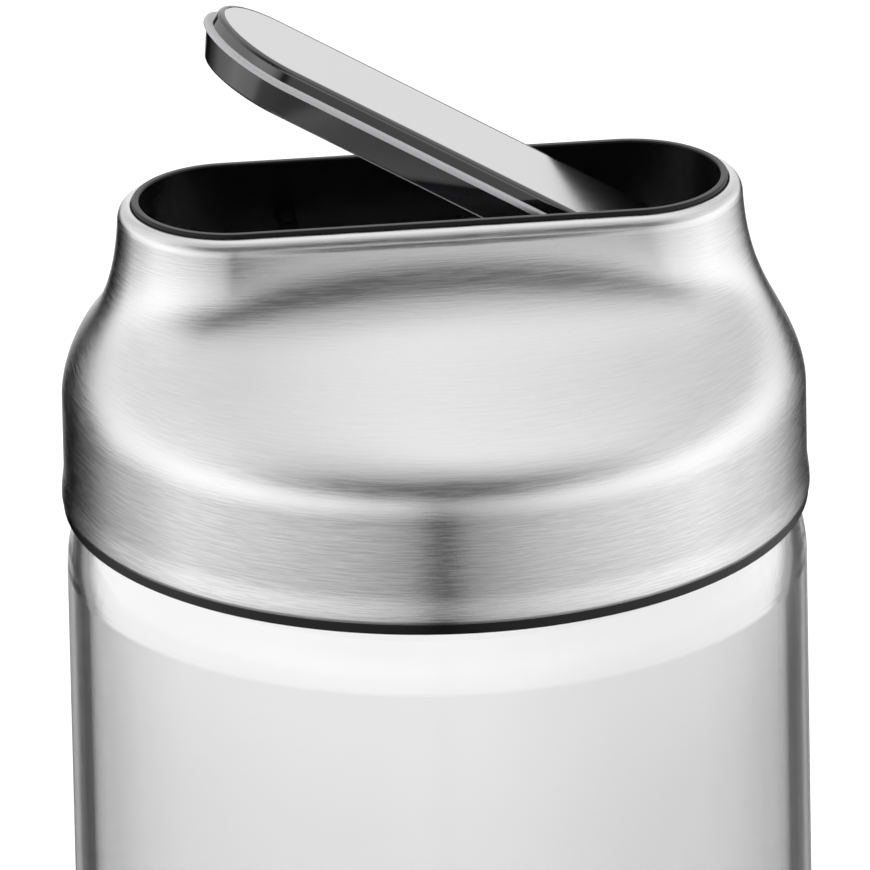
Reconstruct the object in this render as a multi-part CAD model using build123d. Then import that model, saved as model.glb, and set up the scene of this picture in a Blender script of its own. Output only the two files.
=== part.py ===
"""Sugar dispenser: a glass jar, a screw cap with an oval mouth, and a rocking flap in the mouth.

Millimetres, +Z up. The origin is the centre of the jar's standing face. +X runs along the mouth
towards the flap's short, pressed end, and the spout end is at -X. The flap is placed part open.
"""
from build123d import *
from math import cos, sin, radians, hypot, exp, log, pi
import os

os.makedirs("parts", exist_ok=True)

# --- glass jar -----------------------------------------------------------------------------
jar_radius = 38.5
jar_wall = 2.3
jar_floor = 6.0
jar_heel_radius = 5.0           # rounding of the outer lower edge
jar_inside_heel_radius = 7.0    # rounding of the inner lower edge
standing_ring = 5.5             # width of the flat ring that the jar stands on
punt_depth = 1.4                # shallow hollow inside that ring
body_height = 83.2              # the side is upright up to here
shoulder_radius = 12.0
neck_setback = 5.0              # side of the neck, in from the side of the jar
neck_root_radius = 1.6          # hollow rounding between shoulder and neck
rim_rounding = 0.7

# --- screw thread --------------------------------------------------------------------------
thread_lead = 12.0              # rise in one full turn
thread_starts = 3
ridge_turns = 0.3               # how much of a turn each ridge covers
ridge_height = 1.2
ridge_root_width = 1.7
ridge_crest_width = 0.9
ridge_sink = 0.4                # how far a ridge is rooted in its wall
ridge_below_rim = 0.85          # upper end of the neck's ridges below the rim
thread_play = 0.4               # radial play between the two halves of the thread

# --- gasket --------------------------------------------------------------------------------
gasket_thickness = 1.2
gasket_setback = 0.3            # its bore stands back from the bore of the neck

# --- threaded insert, with the dark band that shows under the steel ---------------------------
shoulder_gap = 0.35             # between the cap's lower inner edge and the jar's shoulder
insert_depth = 13.2             # underside of the cap up to the seat on the gasket
band_height = 1.2
band_proud = 0.1                # past the side of the steel
band_edge_rounding = 0.2
band_lead_in = 1.7              # the bore opens by this much at its lower end
lead_in_height = 2.2
insert_top_rounding = 1.0

# --- steel shell ---------------------------------------------------------------------------
shell_overhang = 0.15           # side of the steel past the side of the jar
sheet = 0.6
shell_height = 33.8             # lip above the underside of the cap
shoulder_rise = 12.0            # the side is upright up to here
mouth_half_length = 31.15
mouth_half_width = 10.5
lip_radius = 1.35
flare = 0.25                    # how far the lower edge swells out
flare_height = 3.2
shell_fit = 0.1                 # between the steel and what it is bonded over
bell_foot = 1.7                 # S-curve of the ends: its two steepnesses and its balance
bell_head = 1.57
bell_balance = 2.33
scoop_foot = 0.33               # hollows front and back: where they start and stop coming in
scoop_head = 0.49
scoop_foot_rounding = 0.065
scoop_head_rounding = 0.1
side_flattening = 3.0           # how late the hollows' rounded faces turn flat
section_gap = 1.2               # height between sections of the steel

# --- funnel with the mouth's collar ----------------------------------------------------------
collar_wall = 0.8
collar_proud = 0.45             # above the lip
collar_edge_rounding = 0.2
deck_thickness = 1.6
deck_setback = 1.3              # edge of the deck, back from the inside of the shell
funnel_wall = 1.6

# --- flap ----------------------------------------------------------------------------------
flap_end_gap = 0.3              # between the flap and the inside of the collar
flap_side_gap = 0.9
flap_below_collar = 0.1
carrier_inset = 0.85            # side of the carrier's top, in from the edge of the seal
carrier_height = 1.45           # the carrier's top above the seal
carrier_rounding = 0.5
carrier_clearance = 0.1         # around the carrier inside the seal
plate_border = 0.65             # width of carrier that shows around the plate
plate_sheet = 0.5
plate_rounding = 0.12
plate_gap = 0.05                # around the plate in the carrier's recess
seal_thickness = 0.6
seal_width = 2.4
seal_rounding = 0.2
skirt_inset = 0.4
skirt_height = 3.15
skirt_side_draft = 1.0
skirt_end_draft = 1.6
skirt_wall = 1.2
skirt_floor = 1.1
skirt_edge_rounding = 0.5
post_radius = 1.5
post_wall = 1.1
post_end_setback = 7.6          # posts in from the ends of the hollow in the flap

# --- hinge ---------------------------------------------------------------------------------
pin_radius = 1.0
pin_running_clearance = 0.05
pin_play = 0.05                 # pin ends back from the outside of the bosses
pivot_offset = 12.0             # from the middle of the mouth towards the short end
pivot_below_seal = 1.55
rib_length = 5.0
boss_wall = 0.9                 # around the pin
boss_clearance = 0.05           # between a boss and the steel
flap_side_play = 0.15
rest_opening = 31.0             # degrees
full_opening = 70.0             # degrees

# --- stop pegs -----------------------------------------------------------------------------
peg_radius = 1.0
peg_gap = 0.1                   # left between a peg and the flap at its limit
peg_reach = 3.3                 # out of the collar's wall
closed_peg_offset = 14.0        # towards the spout end
open_peg_arm = 8.0              # from the pivot

# --- radii and widths that the pieces share ----------------------------------------------------
neck_radius = jar_radius - neck_setback
neck_bore_radius = neck_radius - jar_wall
punt_radius = jar_radius - jar_heel_radius - standing_ring
thread_bore_radius = neck_radius + ridge_height + thread_play
lead_in_radius = thread_bore_radius + band_lead_in
shell_radius = jar_radius + shell_overhang
insert_radius = shell_radius - sheet - shell_fit
neck_half_length = mouth_half_length + lip_radius
neck_half_width = mouth_half_width + lip_radius
collar_half_length = mouth_half_length - shell_fit
collar_half_width = mouth_half_width - shell_fit
way_half_length = collar_half_length - collar_wall
way_half_width = collar_half_width - collar_wall
flap_half_length = way_half_length - flap_end_gap
flap_half_width = way_half_width - flap_side_gap
carrier_half_length = flap_half_length - carrier_inset
carrier_half_width = flap_half_width - carrier_inset
plate_half_length = carrier_half_length - plate_border
plate_half_width = carrier_half_width - plate_border
skirt_half_length = flap_half_length - skirt_inset
skirt_half_width = flap_half_width - skirt_inset
hollow_half_length = skirt_half_length - skirt_end_draft - skirt_wall
hollow_half_width = skirt_half_width - skirt_side_draft - skirt_wall
post_offset = hollow_half_length - post_end_setback
boss_radius = pin_radius + boss_wall
boss_end = neck_half_width - sheet - boss_clearance


def shoulder_height(radius, arc_radius):
    """Height where an arc about the centre of the shoulder's rounding has come in to a radius."""
    centre = jar_radius - shoulder_radius
    return body_height + (arc_radius**2 - (radius - centre) ** 2) ** 0.5


# --- heights that the pieces share ------------------------------------------------------------
cap_z = shoulder_height(lead_in_radius, shoulder_radius + shoulder_gap)
deck_z = cap_z + insert_depth
rim_z = deck_z - gasket_thickness
lip_z = cap_z + shell_height
collar_z = lip_z + collar_proud
flap_z = collar_z - flap_below_collar
plate_low = flap_z - plate_sheet
seal_high = flap_z - carrier_height
seal_low = seal_high - seal_thickness
skirt_low = seal_low - skirt_height
pivot_z = seal_low - pivot_below_seal

# --- shape of the ovals ------------------------------------------------------------------------
full_corner = 50.0              # degrees of arc in each end of an oval as wide as it is long
flat_corner = 89.3              # the same for an oval with nearly flat sides


def oval(half_length, half_width, height, flatness):
    """Oval of four tangent arcs at a height; flatness 0 suits a circle and 1 has flat sides."""
    corner = radians(full_corner + (flat_corner - full_corner) * flatness)
    spread = (half_length - half_width) / (cos(corner) + sin(corner) - 1)
    end_radius = half_length - spread * cos(corner)
    x = spread * cos(corner) + end_radius * cos(corner)
    y = end_radius * sin(corner)
    with BuildSketch(Plane.XY.offset(height)) as outline:
        with BuildLine():
            ThreePointArc((x, -y), (half_length, 0), (x, y))
            ThreePointArc((x, y), (0, half_width), (-x, y))
            ThreePointArc((-x, y), (-half_length, 0), (-x, -y))
            ThreePointArc((-x, -y), (0, -half_width), (x, -y))
        make_face()
    return outline.sketch


def slot(half_length, half_width, height):
    """Outline with two round ends and two straight sides at a height."""
    return Plane.XY.offset(height) * SlotOverall(2 * half_length, 2 * half_width)


def block(half_length, half_width, low, high):
    """Upright block with round ends between two heights."""
    return extrude(slot(half_length, half_width, low), high - low)


def drum(radius, low, high, x=0.0):
    """Upright round block between two heights."""
    return Pos(x, 0, (low + high) / 2) * Cylinder(radius, high - low)


def cross_bar(radius, x, z, near, far):
    """Round bar along Y between two distances from the middle."""
    centre = Pos(x, (near + far) / 2, z) * Rot(90, 0, 0)
    return centre * Cylinder(radius, far - near)


def both_sides(solid):
    """A solid with its mirror image across the mouth."""
    return solid + mirror(solid, about=Plane.XZ)


# --- thread ridges ---------------------------------------------------------------------------
ridge_rise = thread_lead * ridge_turns
neck_ridge_z = rim_z - ridge_below_rim - ridge_root_width / 2 - ridge_rise
insert_ridge_z = neck_ridge_z - thread_lead / thread_starts / 2


def thread_ridges(wall_radius, start_z, outward):
    """One ridge for each start; outward is +1 on a neck and -1 inside a sleeve."""
    root = -ridge_sink * outward
    crest = ridge_height * outward
    outline = Polyline(
        (root, -ridge_root_width / 2),
        (crest, -ridge_crest_width / 2),
        (crest, ridge_crest_width / 2),
        (root, ridge_root_width / 2),
        close=True,
    )
    path = Helix(pitch=thread_lead, height=ridge_rise, radius=wall_radius)
    across = Plane(origin=(wall_radius, 0, 0), x_dir=(1, 0, 0), z_dir=(0, -1, 0))
    section = across * make_face(outline)
    ridge = Pos(0, 0, start_z) * sweep(section, path=path, is_frenet=True)
    return [Rot(0, 0, 360 * turn / thread_starts) * ridge for turn in range(thread_starts)]


# --- glass jar -------------------------------------------------------------------------------
def jar_solid(side_radius, arc_radius, neck, floor_z, top_z):
    """Turned solid: upright side, round shoulder, upright neck."""
    neck_z = shoulder_height(neck, arc_radius)
    half_turn = radians(22.5)
    centre = jar_radius - shoulder_radius
    middle = (centre + arc_radius * cos(half_turn), body_height + arc_radius * sin(half_turn))
    with BuildSketch(Plane.XZ) as outline:
        with BuildLine():
            Line((0, floor_z), (side_radius, floor_z))
            Line((side_radius, floor_z), (side_radius, body_height))
            ThreePointArc((side_radius, body_height), middle, (neck, neck_z))
            Line((neck, neck_z), (neck, top_z))
            Line((neck, top_z), (0, top_z))
            Line((0, top_z), (0, floor_z))
        make_face()
    return revolve(outline.sketch, axis=Axis.Z)


def edges_at(solid, height):
    """Edges that lie level at a height."""
    return solid.edges().filter_by_position(Axis.Z, height - 0.001, height + 0.001)


def glass_jar():
    outside = jar_solid(jar_radius, shoulder_radius, neck_radius, 0, rim_z)
    root = shoulder_height(neck_radius, shoulder_radius)
    outside = fillet(edges_at(outside, root), neck_root_radius)
    outside = fillet(edges_at(outside, 0), jar_heel_radius)
    inside = jar_solid(
        jar_radius - jar_wall, shoulder_radius - jar_wall, neck_bore_radius, jar_floor, rim_z + 1
    )
    inside = fillet(edges_at(inside, jar_floor), jar_inside_heel_radius)
    glass = outside - inside
    glass = fillet(edges_at(glass, rim_z), rim_rounding)
    dome_radius = (punt_radius**2 + punt_depth**2) / (2 * punt_depth)
    glass -= Pos(0, 0, punt_depth - dome_radius) * Rot(90, 0, 0) * Sphere(dome_radius)
    for ridge in thread_ridges(neck_radius, neck_ridge_z, 1):
        glass += ridge
    return glass


# --- gasket ----------------------------------------------------------------------------------
def rim_gasket():
    inner = neck_bore_radius + gasket_setback
    return drum(neck_radius, rim_z, deck_z) - drum(inner, rim_z - 1, deck_z + 1)


# --- threaded insert ---------------------------------------------------------------------------
def threaded_insert():
    band = drum(shell_radius + band_proud, cap_z, cap_z + band_height)
    band = fillet(band.edges().filter_by(GeomType.CIRCLE), band_edge_rounding)
    sleeve = drum(insert_radius, cap_z + band_height / 2, deck_z)
    sleeve = fillet(edges_at(sleeve, deck_z), insert_top_rounding)
    insert = band + sleeve - drum(thread_bore_radius, cap_z - 1, deck_z + 1)
    lead_in = Cone(lead_in_radius, thread_bore_radius, lead_in_height)
    insert -= Pos(0, 0, cap_z + lead_in_height / 2) * lead_in
    for ridge in thread_ridges(thread_bore_radius, insert_ridge_z, -1):
        insert += ridge
    return insert


# --- steel shell -------------------------------------------------------------------------------
curve_step = 0.001              # share of the height over which slopes are taken


def side_reach(z):
    """Radius of the shell's upright side, swelling out to its lower edge."""
    share = min(max((z - band_height) / flare_height, 0), 1)
    return shell_radius + flare * (1 + cos(pi * share)) / 2


def belled(share):
    """How far the ends have come in, from 0 to 1 with level ends."""
    share = min(max(share, 1e-6), 1 - 1e-6)
    return 1 / (1 + (1 - share) ** bell_head / share**bell_foot / bell_balance)


def end_reach(share):
    """Half-length of the shell at a share of its height above the shoulder."""
    return shell_radius - (shell_radius - neck_half_length) * belled(share)


def rounded_start(share, start, rounding):
    """Zero up to a start and an even rise after it, with a rounded bend between them."""
    return rounding * log(1 + exp((share - start) / rounding))


def scoop_sum(share):
    """Rises between the two places and keeps level beyond them."""
    foot = rounded_start(share, scoop_foot, scoop_foot_rounding)
    return foot - rounded_start(share, scoop_head, scoop_head_rounding)


def scooped(share):
    """How far the hollows front and back have come in, from 0 to 1."""
    return (scoop_sum(share) - scoop_sum(0)) / (scoop_sum(1) - scoop_sum(0))


def face_reach(share):
    """Half-width of the shell: the same bell as the ends, with a scoop taken out of it."""
    return end_reach(share) - (neck_half_length - neck_half_width) * scooped(share)


def inside_reach(reach, height):
    """Reach of the inner face at a height, one sheet thickness in along the normal."""
    span = shell_height - shoulder_rise
    low = 0.0
    high = 1.0
    for _ in range(50):
        share = (low + high) / 2
        slope = (reach(share + curve_step) - reach(share - curve_step)) / (2 * curve_step * span)
        drop = sheet * -slope / hypot(1, slope)
        if shoulder_rise + share * span - drop < height:
            low = share
        else:
            high = share
    return reach(share) - sheet / hypot(1, slope)


def level_steps(low, high):
    """Even heights between two levels, about one section gap apart, without the upper one."""
    count = round((high - low) / section_gap)
    return [low + (high - low) * step / count for step in range(count)]


def shell_outside():
    span = shell_height - shoulder_rise
    sections = []
    for z in level_steps(band_height, shoulder_rise):
        sections.append(oval(side_reach(z), side_reach(z), cap_z + z, 0))
    for z in level_steps(shoulder_rise, shell_height) + [shell_height]:
        share = (z - shoulder_rise) / span
        flatness = scooped(share) ** side_flattening
        sections.append(oval(end_reach(share), face_reach(share), cap_z + z, flatness))
    return fillet(edges_at(loft(sections), lip_z), lip_radius)


def shell_inside():
    top = shell_height - sheet
    sections = []
    for z in level_steps(0, shoulder_rise):
        inner = side_reach(z) - sheet
        sections.append(oval(inner, inner, cap_z + z, 0))
    for z in level_steps(shoulder_rise, top):
        flatness = scooped((z - shoulder_rise) / (top - shoulder_rise)) ** side_flattening
        half_length = inside_reach(end_reach, z)
        half_width = inside_reach(face_reach, z)
        sections.append(oval(half_length, half_width, cap_z + z, flatness))
    sections.append(oval(neck_half_length - sheet, neck_half_width - sheet, cap_z + top, 1))
    return fillet(edges_at(loft(sections), cap_z + top), lip_radius - sheet)


def cap_shell():
    shell = shell_outside() - shell_inside()
    return shell - block(mouth_half_length, mouth_half_width, lip_z - 2 * sheet, lip_z + 1)


# --- funnel and collar -------------------------------------------------------------------------
def peg_places():
    """Centres of the pegs that stop the flap shut and fully open."""
    under_pivot = pivot_z - skirt_low + peg_gap + peg_radius
    turn = radians(full_opening)
    shut = (-closed_peg_offset, pivot_z - under_pivot)
    wide_x = pivot_offset + open_peg_arm * cos(turn) - under_pivot * sin(turn)
    wide_z = pivot_z - open_peg_arm * sin(turn) - under_pivot * cos(turn)
    return [shut, (wide_x, wide_z)]


def mouth_funnel():
    foot_z = min(z for x, z in peg_places()) - peg_radius
    deck = drum(insert_radius - deck_setback, deck_z, deck_z + deck_thickness)
    outer_foot = neck_bore_radius + funnel_wall
    skirt = loft([
        oval(outer_foot, outer_foot, deck_z + deck_thickness, 0),
        oval(collar_half_length, collar_half_width, foot_z + funnel_wall, 1),
    ])
    collar = block(collar_half_length, collar_half_width, foot_z + funnel_wall, collar_z)
    bosses = both_sides(cross_bar(boss_radius, pivot_offset, pivot_z, way_half_width, boss_end))
    body = deck + skirt + collar + bosses
    way = loft([
        oval(neck_bore_radius, neck_bore_radius, deck_z, 0),
        oval(way_half_length, way_half_width, foot_z, 1),
    ])
    body -= way + block(way_half_length, way_half_width, foot_z, collar_z + 1)
    body = fillet(edges_at(body, collar_z), collar_edge_rounding)
    side = flap_half_width + flap_side_play
    body += both_sides(cross_bar(boss_radius, pivot_offset, pivot_z, side, collar_half_width))
    for x, z in peg_places():
        body += both_sides(cross_bar(peg_radius, x, z, way_half_width - peg_reach, collar_half_width))
    return body - cross_bar(pin_radius, pivot_offset, pivot_z, -mouth_half_length, mouth_half_length)


# --- hinge pin ---------------------------------------------------------------------------------
def hinge_pin():
    end = boss_end - pin_play
    pin = cross_bar(pin_radius, pivot_offset, pivot_z, -end, end)
    return chamfer(pin.edges().filter_by(GeomType.CIRCLE), pin_radius / 5)


# --- flap, modelled shut and then turned to its resting place ----------------------------------
def opened(solid):
    """Turns a piece of the flap about the hinge from shut to its resting place."""
    hinge = Axis((pivot_offset, 0, pivot_z), (0, 1, 0))
    return solid.rotate(hinge, rest_opening)


def flap_plate():
    plate = block(plate_half_length, plate_half_width, plate_low, flap_z)
    return fillet(edges_at(plate, flap_z), plate_rounding)


def flap_seal():
    ring = block(flap_half_length, flap_half_width, seal_low, seal_high)
    ring = fillet(edges_at(ring, seal_high) + edges_at(ring, seal_low), seal_rounding)
    bore = block(flap_half_length - seal_width, flap_half_width - seal_width, seal_low - 1, seal_high + 1)
    return ring - bore


def flap_carrier():
    top = block(carrier_half_length, carrier_half_width, seal_high, flap_z)
    top = fillet(edges_at(top, flap_z), carrier_rounding)
    top -= block(plate_half_length + plate_gap, plate_half_width + plate_gap, plate_low, flap_z + 1)
    core_length = flap_half_length - seal_width - carrier_clearance
    core_width = flap_half_width - seal_width - carrier_clearance
    core = block(core_length, core_width, seal_low, seal_high)
    carrier = top + core
    for x in (-post_offset, post_offset):
        carrier += drum(post_radius, skirt_low + skirt_floor, seal_low, x)
    return carrier


def flap_base():
    base = loft([
        slot(skirt_half_length - skirt_end_draft, skirt_half_width - skirt_side_draft, skirt_low),
        slot(skirt_half_length, skirt_half_width, seal_low),
    ])
    base = fillet(edges_at(base, skirt_low), skirt_edge_rounding)
    hollow = block(hollow_half_length, hollow_half_width, skirt_low + skirt_floor, seal_low + 1)
    rib_height = skirt_height - skirt_floor
    rib = Box(rib_length, 2 * hollow_half_width, rib_height)
    hollow -= Pos(pivot_offset, 0, seal_low - rib_height / 2) * rib
    base -= hollow
    for x in (-post_offset, post_offset):
        base += drum(post_radius + post_wall, skirt_low + skirt_floor, seal_low, x)
        base -= drum(post_radius, skirt_low + skirt_floor, seal_low + 1, x)
    bore = pin_radius + pin_running_clearance
    return base - cross_bar(bore, pivot_offset, pivot_z, -flap_half_width, flap_half_width)


pieces = {
    "glass_jar": glass_jar(),
    "rim_gasket": rim_gasket(),
    "threaded_insert": threaded_insert(),
    "cap_shell": cap_shell(),
    "mouth_funnel": mouth_funnel(),
    "hinge_pin": hinge_pin(),
    "flap_plate": opened(flap_plate()),
    "flap_seal": opened(flap_seal()),
    "flap_carrier": opened(flap_carrier()),
    "flap_base": opened(flap_base()),
}

for node, piece in pieces.items():
    export_step(piece, f"parts/{node}.step")
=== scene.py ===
import math

import bpy
from mathutils import Matrix, Vector


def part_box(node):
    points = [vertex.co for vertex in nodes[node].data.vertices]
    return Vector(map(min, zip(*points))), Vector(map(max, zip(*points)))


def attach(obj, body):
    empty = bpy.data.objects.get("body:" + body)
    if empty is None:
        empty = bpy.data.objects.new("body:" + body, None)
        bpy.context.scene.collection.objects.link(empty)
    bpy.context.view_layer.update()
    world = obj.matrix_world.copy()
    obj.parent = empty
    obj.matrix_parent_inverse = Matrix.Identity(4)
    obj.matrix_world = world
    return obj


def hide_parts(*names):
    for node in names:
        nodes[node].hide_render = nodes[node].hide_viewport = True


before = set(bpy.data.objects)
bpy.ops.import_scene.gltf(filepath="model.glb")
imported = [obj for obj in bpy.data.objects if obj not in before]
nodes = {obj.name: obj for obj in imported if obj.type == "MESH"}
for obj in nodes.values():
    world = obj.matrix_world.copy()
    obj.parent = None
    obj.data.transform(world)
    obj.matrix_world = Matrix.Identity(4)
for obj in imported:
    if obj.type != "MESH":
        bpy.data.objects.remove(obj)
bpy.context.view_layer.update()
mm = 0.001
print("frame loaded,", len(nodes), "solids")


def newMaterial(name):
    # an empty node material with its output and one principled shader
    material = bpy.data.materials.new(name)
    material.use_nodes = True
    tree = material.node_tree
    tree.nodes.clear()
    output = tree.nodes.new("ShaderNodeOutputMaterial")
    shader = tree.nodes.new("ShaderNodeBsdfPrincipled")
    tree.links.new(shader.outputs["BSDF"], output.inputs["Surface"])
    return material, tree, shader


def setSockets(node, values):
    for name, value in values.items():
        node.inputs[name].default_value = value


def addNode(tree, kind, links=None, **settings):
    # a node with its settings, and its inputs joined to other sockets or set to numbers
    node = tree.nodes.new(kind)
    for name, value in settings.items():
        setattr(node, name, value)
    for name, value in (links or {}).items():
        if isinstance(value, bpy.types.NodeSocket):
            tree.links.new(value, node.inputs[name])
        else:
            node.inputs[name].default_value = value
    return node


def mathNode(tree, operation, a, b=0.0, c=0.0):
    node = addNode(tree, "ShaderNodeMath", {0: a, 1: b, 2: c}, operation=operation)
    return node.outputs[0]


def dotWith(tree, vector, direction):
    node = addNode(tree, "ShaderNodeVectorMath", {0: vector, 1: direction}, operation="DOT_PRODUCT")
    return node.outputs["Value"]


def smoothStep(tree, value, low, high, fromValue=0.0, toValue=1.0):
    node = addNode(tree, "ShaderNodeMapRange", {"Value": value}, interpolation_type="SMOOTHSTEP")
    setSockets(node, {"From Min": low, "From Max": high, "To Min": fromValue, "To Max": toValue})
    return node.outputs["Result"]


def mixed(tree, factor, a, b):
    node = addNode(tree, "ShaderNodeMix", {"Factor": factor, "A": a, "B": b}, data_type="FLOAT")
    return node.outputs[0]


def spreadAround(tree, value, middle, share):
    # a value from 0 to 1 turned into one that lies within a share of the middle
    node = addNode(tree, "ShaderNodeMapRange", {"Value": value})
    setSockets(node, {"To Min": middle * (1 - share), "To Max": middle * (1 + share)})
    return node.outputs["Result"]


def grainNoise(tree, scale, detail):
    # noise that is fixed to the piece, around 0.5
    place = addNode(tree, "ShaderNodeTexCoord").outputs["Object"]
    node = addNode(tree, "ShaderNodeTexNoise", {"Vector": place, "Scale": scale, "Detail": detail})
    return node.outputs["Fac"]


def grey(level):
    return (level, level, level, 1.0)


def greySocket(tree, level):
    node = addNode(tree, "ShaderNodeCombineColor", {"Red": level, "Green": level, "Blue": level})
    return node.outputs[0]


def ramp(tree, value, stops):
    # stops are (place from 0 to 1, brightness), with straight lines between them
    node = addNode(tree, "ShaderNodeValToRGB", {"Fac": value})
    band = node.color_ramp
    band.interpolation = "LINEAR"
    while len(band.elements) < len(stops):
        band.elements.new(0.5)
    for element, (place, level) in zip(band.elements, stops):
        element.position = place
        element.color = grey(level)
    return node.outputs["Color"]


def giveMaterial(piece, material):
    piece.data.materials.clear()
    piece.data.materials.append(material)


def meshPiece(name, points, faces, body):
    mesh = bpy.data.meshes.new(name)
    mesh.from_pydata([Vector(p) * mm for p in points], [], faces)
    mesh.update()
    mesh.polygons.foreach_set("use_smooth", [True] * len(mesh.polygons))
    piece = bpy.data.objects.new(name, mesh)
    bpy.context.scene.collection.objects.link(piece)
    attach(piece, body)
    return piece


steelShell = {                # lengths in millimetres, angles in degrees
    "radius": 38.65,
    "sheet": 0.6,
    "height": 33.8,           # lip above the underside of the cap
    "bandHeight": 1.2,        # dark band under the steel
    "shoulderRise": 12.0,
    "mouthHalfLength": 31.15,
    "mouthHalfWidth": 10.5,
    "lipRadius": 1.35,
    "flare": 0.25,            # how far the lower edge swells out
    "flareHeight": 3.2,
    # ends: steepness at the foot and at the head, and balance
    "bell": (1.7, 1.57, 2.33),
    # hollows: where they start and stop, each with its rounding, as shares of the height above the skirt
    "scoop": (0.31, 0.065, 0.47, 0.12),
    "flattening": 3.0,        # how late the hollows' rounded faces turn flat
    "corners": (50.0, 89.3),  # arc in each end, round and flat
    "stepsUp": 96,
    "lipSteps": 12,
    "stepsRound": 288,
    "layerScale": 10.0,       # texture units per metre up the sheet
}


def belled(share):
    # how far the ends have come in, from 0 to 1
    foot, head, balance = steelShell["bell"]
    least = 1e-6              # keeps both powers defined
    share = min(max(share, least), 1 - least)
    return 1 / (1 + (1 - share) ** head / share ** foot / balance)


def roundedRise(share, start, rounding):
    # zero before the start and a straight slope after it, rounded where they meet
    return rounding * math.log(1 + math.exp((share - start) / rounding))


def scoopSum(share):
    foot, footRounding, head, headRounding = steelShell["scoop"]
    return roundedRise(share, foot, footRounding) - roundedRise(share, head, headRounding)


def scooped(share):
    # how far the hollows front and back have come in, from 0 to 1
    return (scoopSum(share) - scoopSum(0)) / (scoopSum(1) - scoopSum(0))


def ovalPoint(halfLength, halfWidth, flatness, turn):
    # a point on an oval of four tangent arcs; turn runs from 0 to 4 quarters
    low, high = steelShell["corners"]
    corner = math.radians(low + (high - low) * flatness)
    spread = (halfLength - halfWidth) / (math.cos(corner) + math.sin(corner) - 1)
    endRadius = halfLength - spread * math.cos(corner)
    sideRadius = endRadius + spread
    quarter = int(turn) % 4
    share = turn - int(turn)
    if quarter in (1, 3):
        share = 1 - share
    if share < 0.5:
        angle = corner * share * 2
        x = spread * math.cos(corner) + endRadius * math.cos(angle)
        y = endRadius * math.sin(angle)
    else:
        angle = corner + (math.pi / 2 - corner) * (share * 2 - 1)
        x = sideRadius * math.cos(angle)
        y = sideRadius * math.sin(angle) - spread * math.sin(corner)
    if quarter in (1, 2):
        x = -x
    if quarter in (2, 3):
        y = -y
    return x, y


def shellReach(height):
    # half-length, half-width and flatness of the shell's outside at a height above the cap's underside
    s = steelShell
    neckLength = s["mouthHalfLength"] + s["lipRadius"]
    neckWidth = s["mouthHalfWidth"] + s["lipRadius"]
    if height < s["shoulderRise"]:
        share = min((height - s["bandHeight"]) / s["flareHeight"], 1)
        reach = s["radius"] + s["flare"] * (1 + math.cos(math.pi * share)) / 2
        return reach, reach, 0.0
    share = (height - s["shoulderRise"]) / (s["height"] - s["shoulderRise"])
    ends = s["radius"] - (s["radius"] - neckLength) * belled(share)
    hollow = scooped(share)
    return ends, ends - (neckLength - neckWidth) * hollow, hollow ** s["flattening"]


def buildShell():
    s = steelShell
    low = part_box("cap_shell")[0].z / mm - s["bandHeight"]
    lip = s["lipRadius"]
    rows = []                 # (half-length, half-width, flatness, height)
    straight = s["height"] - lip - s["bandHeight"]
    for step in range(s["stepsUp"] + 1):
        height = s["bandHeight"] + straight * step / s["stepsUp"]
        rows.append((*shellReach(height), height))
    for step in range(1, s["lipSteps"] + 1):
        angle = math.pi / 2 * step / s["lipSteps"]
        inward = lip * (1 - math.cos(angle))
        length = s["mouthHalfLength"] + lip - inward
        width = s["mouthHalfWidth"] + lip - inward
        rows.append((length, width, 1.0, s["height"] - lip * (1 - math.sin(angle))))
    rows.append((s["mouthHalfLength"], s["mouthHalfWidth"], 1.0, s["height"] - s["sheet"]))
    inner = []
    for length, width, flat, height in rows[s["stepsUp"]::-1]:
        inner.append((length - s["sheet"], width - s["sheet"], flat, height))
    rows += inner
    points, faces, meridian = [], [], []    # meridian is the way along the sheet to each row
    count = s["stepsRound"]
    run = 0.0
    for index, (length, width, flat, height) in enumerate(rows):
        for step in range(count):
            x, y = ovalPoint(length, width, flat, 4 * step / count)
            points.append((x, y, low + height))
        if index:
            lastLength, lastWidth, _, lastHeight = rows[index - 1]
            across = ((length - lastLength) + (width - lastWidth)) / 2
            run += math.hypot(across, height - lastHeight)
        meridian.append(run)
    for row in range(len(rows) - 1):
        for step in range(count):
            after = (step + 1) % count
            faces.append((row * count + step, row * count + after,
                          (row + 1) * count + after, (row + 1) * count + step))
    lastRow = (len(rows) - 1) * count
    for step in range(count):  # lower edge
        after = (step + 1) % count
        faces.append((after, step, lastRow + step, lastRow + after))
    shell = meshPiece("steelShell", points, faces, "cap")
    layer = shell.data.uv_layers.new(name="brushing")
    for face in shell.data.polygons:
        places = [divmod(shell.data.loops[corner].vertex_index, count) for corner in face.loop_indices]
        closing = max(step for row, step in places) == count - 1
        for corner, (row, step) in zip(face.loop_indices, places):
            if closing and step == 0:
                step = count
            layer.data[corner].uv = (step / count, meridian[row] * mm * s["layerScale"])
    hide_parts("cap_shell")
    return shell


brushedSteel = {
    "colour": 0.68,
    "roughness": 0.215,
    "roughnessSpread": 0.04,
    "anisotropy": 0.87,
    "lineLength": 260.0,      # change along the brushing, per metre
    "linePitch": 5200.0,      # change across it, per metre
    "lineDetail": 2.0,
    "lineBreaks": 0.7,        # how strong the finer part of the lines is
    "lineTone": 0.04,         # how much lighter or darker the lines are
    "skirtTone": 0.085,       # the same on the upright skirt
    "skirtEdge": (-2.0, 1.0),  # millimetres from the shoulder, where skirtTone goes over into lineTone
    "lineDepth": 0.000013,
    "speckle": 9000.0,        # fine grain between the lines, per metre
    "speckleDetail": 1.0,
    "speckleTone": 0.02,
    "speckleDepth": 0.8,      # share of the lines' depth
    "noiseSpan": (0.3, 0.7),  # the noise's values that count as lowest and highest
}


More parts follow.
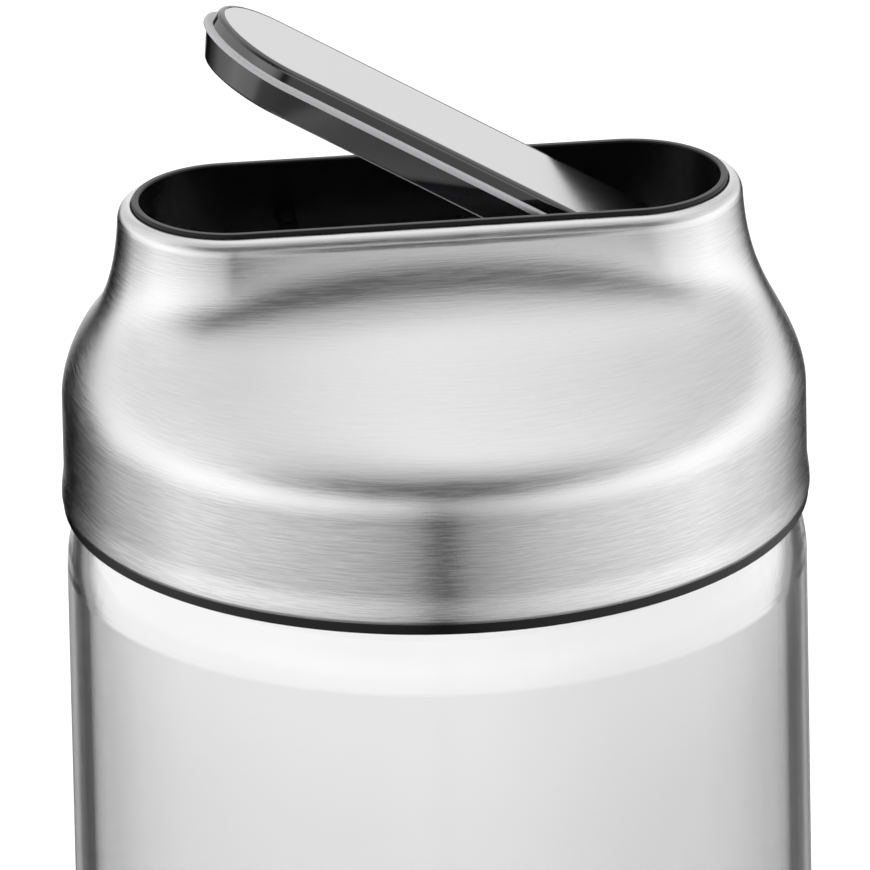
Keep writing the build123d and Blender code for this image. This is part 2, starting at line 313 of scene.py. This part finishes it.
def brushedSteelMaterial():
    b = brushedSteel
    material, tree, shader = newMaterial("brushedSteel")
    place = addNode(tree, "ShaderNodeTexCoord")
    across = addNode(tree, "ShaderNodeSeparateXYZ", {0: place.outputs["UV"]})
    spot = addNode(tree, "ShaderNodeSeparateXYZ", {0: place.outputs["Object"]})
    fine = addNode(tree, "ShaderNodeCombineXYZ", {
        "X": mathNode(tree, "MULTIPLY", spot.outputs["X"], b["lineLength"]),
        "Y": mathNode(tree, "MULTIPLY", spot.outputs["Y"], b["lineLength"]),
        "Z": mathNode(tree, "MULTIPLY", across.outputs["Y"], b["linePitch"] / steelShell["layerScale"])})
    lines = addNode(tree, "ShaderNodeTexNoise", {
        "Vector": fine.outputs[0], "Scale": 1.0, "Detail": b["lineDetail"],
        "Roughness": b["lineBreaks"]}).outputs["Fac"]
    grain = grainNoise(tree, b["speckle"], b["speckleDetail"])
    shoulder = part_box("cap_shell")[0].z + steelShell["shoulderRise"] * mm
    skirtLow, skirtHigh = [shoulder + away * mm for away in b["skirtEdge"]]
    strength = smoothStep(tree, spot.outputs["Z"], skirtLow, skirtHigh, b["skirtTone"], b["lineTone"])
    wave = smoothStep(tree, lines, *b["noiseSpan"], -1.0, 1.0)
    lineTone = mathNode(tree, "MULTIPLY_ADD", wave, strength, 1.0)
    grainTone = smoothStep(tree, grain, *b["noiseSpan"], 1 - b["speckleTone"], 1 + b["speckleTone"])
    tone = mathNode(tree, "MULTIPLY", lineTone, grainTone)
    tone = mathNode(tree, "MULTIPLY", tone, b["colour"])
    rough = smoothStep(tree, lines, *b["noiseSpan"], b["roughness"] - b["roughnessSpread"],
                       b["roughness"] + b["roughnessSpread"])
    height = mathNode(tree, "MULTIPLY_ADD", grain, b["speckleDepth"], lines)
    bump = addNode(tree, "ShaderNodeBump", {"Height": height, "Strength": 1.0, "Distance": b["lineDepth"]})
    tangent = addNode(tree, "ShaderNodeTangent", direction_type="UV_MAP", uv_map="brushing")
    for source, target in ((greySocket(tree, tone), "Base Color"), (rough, "Roughness"),
                           (bump.outputs[0], "Normal"), (tangent.outputs[0], "Tangent")):
        tree.links.new(source, shader.inputs[target])
    # a quarter turn lays the stretched shine across the lines
    setSockets(shader, {"Metallic": 1.0, "Anisotropic": b["anisotropy"], "Anisotropic Rotation": 0.25})
    return material


shell = buildShell()
giveMaterial(shell, brushedSteelMaterial())
print("steel shell built")


blackPlastic = {"colour": (0.004, 0.004, 0.004, 1.0), "roughness": 0.22, "ior": 1.36,
                "grain": 900.0, "grainDepth": 0.02}
flapPlastic = {"colour": (0.008, 0.008, 0.009, 1.0), "roughness": 0.08, "ior": 2.0,
               "grain": 700.0, "grainDepth": 0.02}
sealGrey = {"colour": (0.46, 0.46, 0.47, 1.0), "roughness": 0.3, "ior": 1.5,
            "grain": 1500.0, "grainDepth": 0.05}
gasketSilicone = {"colour": (0.72, 0.72, 0.70, 1.0), "roughness": 0.45, "ior": 1.5,
                  "grain": 1200.0, "grainDepth": 0.05}
plasticGrain = {"detail": 4.0, "roughnessSpread": 0.3, "bumpDistance": 0.0001}


def plasticMaterial(name, look):
    material, tree, shader = newMaterial(name)
    grain = grainNoise(tree, look["grain"], plasticGrain["detail"])
    rough = spreadAround(tree, grain, look["roughness"], plasticGrain["roughnessSpread"])
    bump = addNode(tree, "ShaderNodeBump", {"Height": grain, "Strength": look["grainDepth"],
                                            "Distance": plasticGrain["bumpDistance"]})
    tree.links.new(rough, shader.inputs["Roughness"])
    tree.links.new(bump.outputs[0], shader.inputs["Normal"])
    setSockets(shader, {"Base Color": look["colour"], "IOR": look["ior"]})
    return material


blackMaterial = plasticMaterial("blackPlastic", blackPlastic)
giveMaterial(nodes["threaded_insert"], blackMaterial)
giveMaterial(nodes["mouth_funnel"], blackMaterial)
flapBlack = plasticMaterial("flapPlastic", flapPlastic)
giveMaterial(nodes["flap_carrier"], flapBlack)
giveMaterial(nodes["flap_base"], flapBlack)
giveMaterial(nodes["flap_seal"], plasticMaterial("sealGrey", sealGrey))
giveMaterial(nodes["rim_gasket"], plasticMaterial("gasketSilicone", gasketSilicone))
for name in ("flap_base", "flap_carrier", "flap_seal", "flap_plate"):
    nodes[name].visible_glossy = False    # keeps the flap's mirror image out of the steel's hollow


plateSteel = {"colour": 0.66, "roughness": 0.19, "grain": 2500.0}
pinSteel = {"colour": 0.6, "roughness": 0.25, "grain": 3000.0}
satinGrain = {"detail": 5.0, "toneSpread": 0.03, "roughnessSpread": 0.2}


def satinMaterial(name, look):
    material, tree, shader = newMaterial(name)
    grain = grainNoise(tree, look["grain"], satinGrain["detail"])
    tone = spreadAround(tree, grain, look["colour"], satinGrain["toneSpread"])
    rough = spreadAround(tree, grain, look["roughness"], satinGrain["roughnessSpread"])
    tree.links.new(greySocket(tree, tone), shader.inputs["Base Color"])
    tree.links.new(rough, shader.inputs["Roughness"])
    setSockets(shader, {"Metallic": 1.0})
    return material


giveMaterial(nodes["flap_plate"], satinMaterial("plateSteel", plateSteel))
giveMaterial(nodes["hinge_pin"], satinMaterial("pinSteel", pinSteel))


clearGlass = {
    "ior": 1.5,
    # painted shade in the glass's colour, set by how far its face turns from the eye: 0 is face on, 1 is
    # edge on
    "sidePaintedShade": ((0.07, 0.73), (0.10, 0.70), (0.17, 0.67), (0.26, 0.61), (0.34, 0.56), (0.41, 0.49),
                 (0.46, 0.43), (0.52, 0.34), (0.56, 0.285), (0.60, 0.25), (0.64, 0.20), (0.66, 0.155),
                 (0.68, 0.09), (0.70, 0.013), (0.75, 0.011), (0.77, 0.025), (0.79, 0.035),
                 (0.815, 0.085), (0.86, 0.5), (0.92, 1.0)),
    "shoulderPaintedShade": ((0.07, 0.93), (0.2, 0.84), (0.45, 0.76), (0.52, 0.68), (0.565, 0.54), (0.60, 0.30),
                     (0.633, 0.14), (0.67, 0.10), (0.70, 0.013), (0.75, 0.011), (0.77, 0.025),
                     (0.79, 0.035), (0.815, 0.085), (0.86, 0.5), (0.92, 1.0)),
    "footTint": 0.8,
    "foot": (0.005, 0.010),           # metres up, where the clear foot goes over into the side
    "sideTop": (0.0829, 0.0836),      # metres up, where the side goes over into the clear shoulder
    "outside": 0.0375,                # metres out, between the side's inner and outer face
    # the glass glows with painted light of a set brightness for shiny lines of sight still in it after so
    # many bounces
    "caughtAfter": 4.0,
    "paintedGlowLevel": 0.5,
}


def glassMaterial():
    g = clearGlass
    material, tree, shader = newMaterial("clearGlass")
    turned = addNode(tree, "ShaderNodeLayerWeight", {"Blend": 0.5}).outputs["Facing"]
    # painted shade: the side and shoulder are darkened by how far the face turns from the eye
    side = ramp(tree, turned, g["sidePaintedShade"])
    shoulder = ramp(tree, turned, g["shoulderPaintedShade"])
    spot = addNode(tree, "ShaderNodeTexCoord").outputs["Object"]
    parts = addNode(tree, "ShaderNodeSeparateXYZ", {0: spot})
    above = smoothStep(tree, parts.outputs["Z"], *g["sideTop"])
    aboveFoot = smoothStep(tree, parts.outputs["Z"], *g["foot"])
    paintedShadeAndFootTint = mixed(tree, aboveFoot, g["footTint"], mixed(tree, above, side, shoulder))
    # the foot tint and the painted shade act only where a line of sight enters through the outer face
    out = mathNode(tree, "ADD", mathNode(tree, "POWER", parts.outputs["X"], 2.0),
                   mathNode(tree, "POWER", parts.outputs["Y"], 2.0))
    outer = mathNode(tree, "MAXIMUM", mathNode(tree, "GREATER_THAN", out, g["outside"] ** 2), above)
    inward = addNode(tree, "ShaderNodeNewGeometry").outputs["Backfacing"]
    outer = mathNode(tree, "MULTIPLY", outer, mathNode(tree, "SUBTRACT", 1.0, inward))
    level = mixed(tree, outer, 1.0, paintedShadeAndFootTint)
    tree.links.new(greySocket(tree, level), shader.inputs["Base Color"])
    path = addNode(tree, "ShaderNodeLightPath")
    halfBounce = 0.5
    # painted glow: the glass gives off light where a shiny line of sight reaches this bounce
    paintedGlow = mathNode(tree, "COMPARE", path.outputs["Ray Depth"], g["caughtAfter"], halfBounce)
    paintedGlow = mathNode(tree, "MULTIPLY", paintedGlow, path.outputs["Is Glossy Ray"])
    paintedGlow = mathNode(tree, "MULTIPLY", paintedGlow, g["paintedGlowLevel"])
    tree.links.new(paintedGlow, shader.inputs["Emission Strength"])
    material.cycles.emission_sampling = "NONE"
    setSockets(shader, {"Roughness": 0.0, "IOR": g["ior"], "Transmission Weight": 1.0})
    return material


giveMaterial(nodes["glass_jar"], glassMaterial())
print("finishes set")


studio = {
    "facing": 4.8,            # degrees that the studio's front stands round from -Y towards -X
    # brightness that shiny surfaces see, by degrees round from the front to the back
    "surroundLeft": ((0, 0.60), (7, 1.05), (22, 1.30), (37, 1.50), (52, 1.62), (67, 1.68), (82, 1.60),
                     (97, 1.48), (112, 1.36), (127, 1.15), (142, 0.90), (160, 0.90), (180, 1.20)),
    "surroundRight": ((0, 0.60), (7, 0.85), (22, 1.05), (37, 1.35), (52, 1.45), (67, 1.55), (82, 1.60),
                      (97, 1.58), (112, 1.48), (127, 1.35), (142, 0.95), (160, 0.95), (180, 1.20)),
    "ringLeft": ((0, 0.15), (22, 0.15), (37, 0.24), (52, 0.40), (67, 0.54), (82, 0.67), (97, 0.75),
                 (112, 0.75), (127, 0.90), (180, 1.0)),
    "ringRight": ((0, 0.13), (7, 0.13), (22, 0.19), (37, 0.31), (52, 0.43), (67, 0.54), (82, 0.60),
                  (97, 0.58), (112, 0.61), (127, 0.62), (142, 0.88), (180, 1.0)),
    "tableLeft": ((0, 0.0), (2, 0.03), (4, 0.29), (8, 0.43), (22, 0.62), (37, 0.76), (52, 0.88),
                  (67, 1.02), (82, 1.13), (97, 0.79), (112, 0.57), (127, 0.16), (142, 0.0), (158, 0.0),
                  (166, 0.5), (172, 0.9), (180, 1.0)),
    "tableRight": ((0, 0.0), (2, 0.03), (4, 0.29), (8, 0.42), (22, 0.66), (37, 0.87), (52, 1.02),
                   (67, 1.15), (82, 1.30), (97, 1.12), (112, 0.98), (127, 0.62), (142, 0.14), (158, 0.0),
                   (166, 0.5), (172, 0.9), (180, 1.0)),
    "overheadLeft": ((0, 0.76), (45, 0.82), (90, 0.90), (135, 1.05), (180, 1.28)),
    "overheadRight": ((0, 0.76), (45, 0.88), (90, 1.05), (135, 1.24), (180, 1.28)),
    "ring": (1.0, 25.0),      # degrees above level where the dark ring comes in
    "overheadRise": (43.0, 88.0),     # and where the bright overhead does
    # the next three give two places in metres and the share of brightness at each
    "through": (0.05, 0.26, 0.84, 1.0),        # the table seen through the glass, near to far
    "throughRight": (0.005, 0.03, 1.0, 0.88),  # the same, dimming towards the right
    "closeBy": (0.19, 0.23, 0.4, 1.0),         # shiny surfaces see the table dimmer close to the jar
    "tableFade": (0.32, 1.3),  # metres out where the table goes over into the surround
    # between these degrees at the back it does so this many times further out
    "fadeLaterLeft": (112.0, 142.0, 4.0),
    "fadeLaterRight": (140.0, 158.0, 4.0),
    "floorSize": 6.0,
    "floorGrey": 0.55,
    "floorRoughness": 0.9,
    "floorOwnLight": 0.62,
}
facing = math.radians(studio["facing"])
studioFront = (-math.sin(facing), -math.cos(facing), 0)
studioRight = (math.cos(facing), -math.sin(facing), 0)


def aroundShare(tree, vector):
    # how far round from the studio's front a direction is, from 0 to 1, and whether it is on the right
    front = dotWith(tree, vector, studioFront)
    side = dotWith(tree, vector, studioRight)
    angle = mathNode(tree, "ARCTAN2", mathNode(tree, "ABSOLUTE", side), front)
    return mathNode(tree, "DIVIDE", angle, math.pi), mathNode(tree, "GREATER_THAN", side, 0.0)


def aroundRamp(tree, share, name):
    return ramp(tree, share, [(degrees / 180, level) for degrees, level in studio[name]])


def sidedRamp(tree, share, onRight, name):
    left = aroundRamp(tree, share, name + "Left")
    right = aroundRamp(tree, share, name + "Right")
    return mixed(tree, onRight, left, right)


def buildWorld():
    world = bpy.data.worlds.new("studioWorld")
    world.use_nodes = True
    bpy.context.scene.world = world
    tree = world.node_tree
    tree.nodes.clear()
    output = addNode(tree, "ShaderNodeOutputWorld")
    direction = addNode(tree, "ShaderNodeTexCoord").outputs["Generated"]
    share, onRight = aroundShare(tree, direction)
    around = sidedRamp(tree, share, onRight, "surround")
    up = addNode(tree, "ShaderNodeSeparateXYZ", {0: direction}).outputs["Z"]
    ringLow, ringHigh = [math.sin(math.radians(a)) for a in studio["ring"]]
    overLow, overHigh = [math.sin(math.radians(a)) for a in studio["overheadRise"]]
    kept = sidedRamp(tree, share, onRight, "ring")
    ringed = mixed(tree, smoothStep(tree, up, ringLow, ringHigh), 1.0, kept)
    level = mathNode(tree, "MULTIPLY", around, ringed)
    overhead = sidedRamp(tree, share, onRight, "overhead")
    level = mixed(tree, smoothStep(tree, up, overLow, overHigh), level, overhead)
    # the eye and the glass see a plain white surround
    path = addNode(tree, "ShaderNodeLightPath")
    plain = mathNode(tree, "MAXIMUM", path.outputs["Is Camera Ray"], path.outputs["Is Transmission Ray"])
    seen = mixed(tree, plain, level, 1.0)
    background = addNode(tree, "ShaderNodeBackground", {"Color": grey(1.0), "Strength": seen})
    tree.links.new(background.outputs[0], output.inputs["Surface"])


def buildFloor():
    half = studio["floorSize"] / 2
    corners = [(-half, -half, 0), (half, -half, 0), (half, half, 0), (-half, half, 0)]
    mesh = bpy.data.meshes.new("floor")
    mesh.from_pydata(corners, [], [(0, 1, 2, 3)])
    floor = bpy.data.objects.new("floor", mesh)
    bpy.context.scene.collection.objects.link(floor)
    material, tree, shader = newMaterial("paleFloor")
    setSockets(shader, {"Base Color": grey(studio["floorGrey"]), "Roughness": studio["floorRoughness"],
                        "Specular IOR Level": 0.0})
    output = [n for n in tree.nodes if n.type == "OUTPUT_MATERIAL"][0]
    spot = addNode(tree, "ShaderNodeTexCoord").outputs["Object"]
    share, onRight = aroundShare(tree, spot)
    near = sidedRamp(tree, share, onRight, "table")
    distance = addNode(tree, "ShaderNodeVectorMath", {0: spot}, operation="LENGTH").outputs["Value"]
    laters = []
    for turnLow, turnHigh, times in (studio["fadeLaterLeft"], studio["fadeLaterRight"]):
        laters.append(smoothStep(tree, share, turnLow / 180, turnHigh / 180, 1.0, times))
    later = mixed(tree, onRight, *laters)
    far = smoothStep(tree, mathNode(tree, "DIVIDE", distance, later), *studio["tableFade"])
    near = mathNode(tree, "MULTIPLY", near, smoothStep(tree, distance, *studio["closeBy"]))
    shiny = mixed(tree, far, near, sidedRamp(tree, share, onRight, "surround"))
    aside = dotWith(tree, spot, studioRight)
    through = smoothStep(tree, distance, *studio["through"])
    through = mathNode(tree, "MULTIPLY", through, smoothStep(tree, aside, *studio["throughRight"]))
    path = addNode(tree, "ShaderNodeLightPath")
    level = mixed(tree, path.outputs["Is Transmission Ray"], shiny, through)
    emission = addNode(tree, "ShaderNodeEmission", {"Strength": level})
    # the eye sees a plain floor that takes shadows
    seen = addNode(tree, "ShaderNodeEmission", {"Strength": studio["floorOwnLight"]})
    plain = addNode(tree, "ShaderNodeAddShader", {0: shader.outputs[0], 1: seen.outputs[0]})
    showsPlain = mathNode(tree, "MAXIMUM", path.outputs["Is Camera Ray"], path.outputs["Is Diffuse Ray"])
    both = addNode(tree, "ShaderNodeMixShader", {0: showsPlain, 1: emission.outputs[0], 2: plain.outputs[0]})
    tree.links.new(both.outputs[0], output.inputs["Surface"])
    giveMaterial(floor, material)


softbox = {                   # metres and watts
    "size": (1.2, 0.8),
    "power": 3.0,
    "place": (-0.3, 0.1, 1.3),
    "aim": (0.0, 0.0, 0.1),
}


def buildLamp():
    data = bpy.data.lights.new("softbox", "AREA")
    data.shape = "RECTANGLE"
    data.size, data.size_y = softbox["size"]
    data.energy = softbox["power"]
    lamp = bpy.data.objects.new("softbox", data)
    bpy.context.scene.collection.objects.link(lamp)
    lamp.location = softbox["place"]
    lamp.rotation_euler = (Vector(softbox["aim"]) - lamp.location).to_track_quat("-Z", "Y").to_euler()
    lamp.visible_glossy = False
    lamp.visible_transmission = False
    lamp.visible_camera = False


buildWorld()
buildFloor()
buildLamp()
bpy.context.scene.view_settings.view_transform = "Standard"
print("studio built")


view = {                      # metres, degrees and pixels
    "aim": (0.0, 0.0, 0.09001),   # a point on the jar's axis
    "aimPixel": (436.0, 492.9),   # where that point lies, from the upper left corner
    "pictureSide": 870,
    "distance": 2.45,
    "turn": 6.34,             # round from -Y towards -X
    "elevation": 22.02,
    "roll": -1.15,
    "focalPixels": 23555.0,
    "sensor": 36.0,           # millimetres
    "clip": (0.1, 50.0),
}


def buildCamera():
    turn, rise = math.radians(view["turn"]), math.radians(view["elevation"])
    back = Vector((-math.sin(turn) * math.cos(rise), -math.cos(turn) * math.cos(rise), math.sin(rise)))
    right = Vector((math.cos(turn), -math.sin(turn), 0.0))
    up = back.cross(right)
    tilt = Matrix.Rotation(math.radians(view["roll"]), 3, back)
    right, up = tilt @ right, tilt @ up
    scale = view["distance"] / view["focalPixels"]
    toRight, down = [pixel - view["pictureSide"] / 2 for pixel in view["aimPixel"]]
    target = Vector(view["aim"]) - right * toRight * scale + up * down * scale
    data = bpy.data.cameras.new("camera")
    data.sensor_width = view["sensor"]
    data.lens = view["sensor"] * view["focalPixels"] / view["pictureSide"]
    data.clip_start, data.clip_end = view["clip"]
    camera = bpy.data.objects.new("camera", data)
    bpy.context.scene.collection.objects.link(camera)
    axes = Matrix((right, up, back)).transposed().to_4x4()
    axes.translation = target + back * view["distance"]
    camera.matrix_world = axes
    bpy.context.scene.camera = camera


buildCamera()
print("camera set")
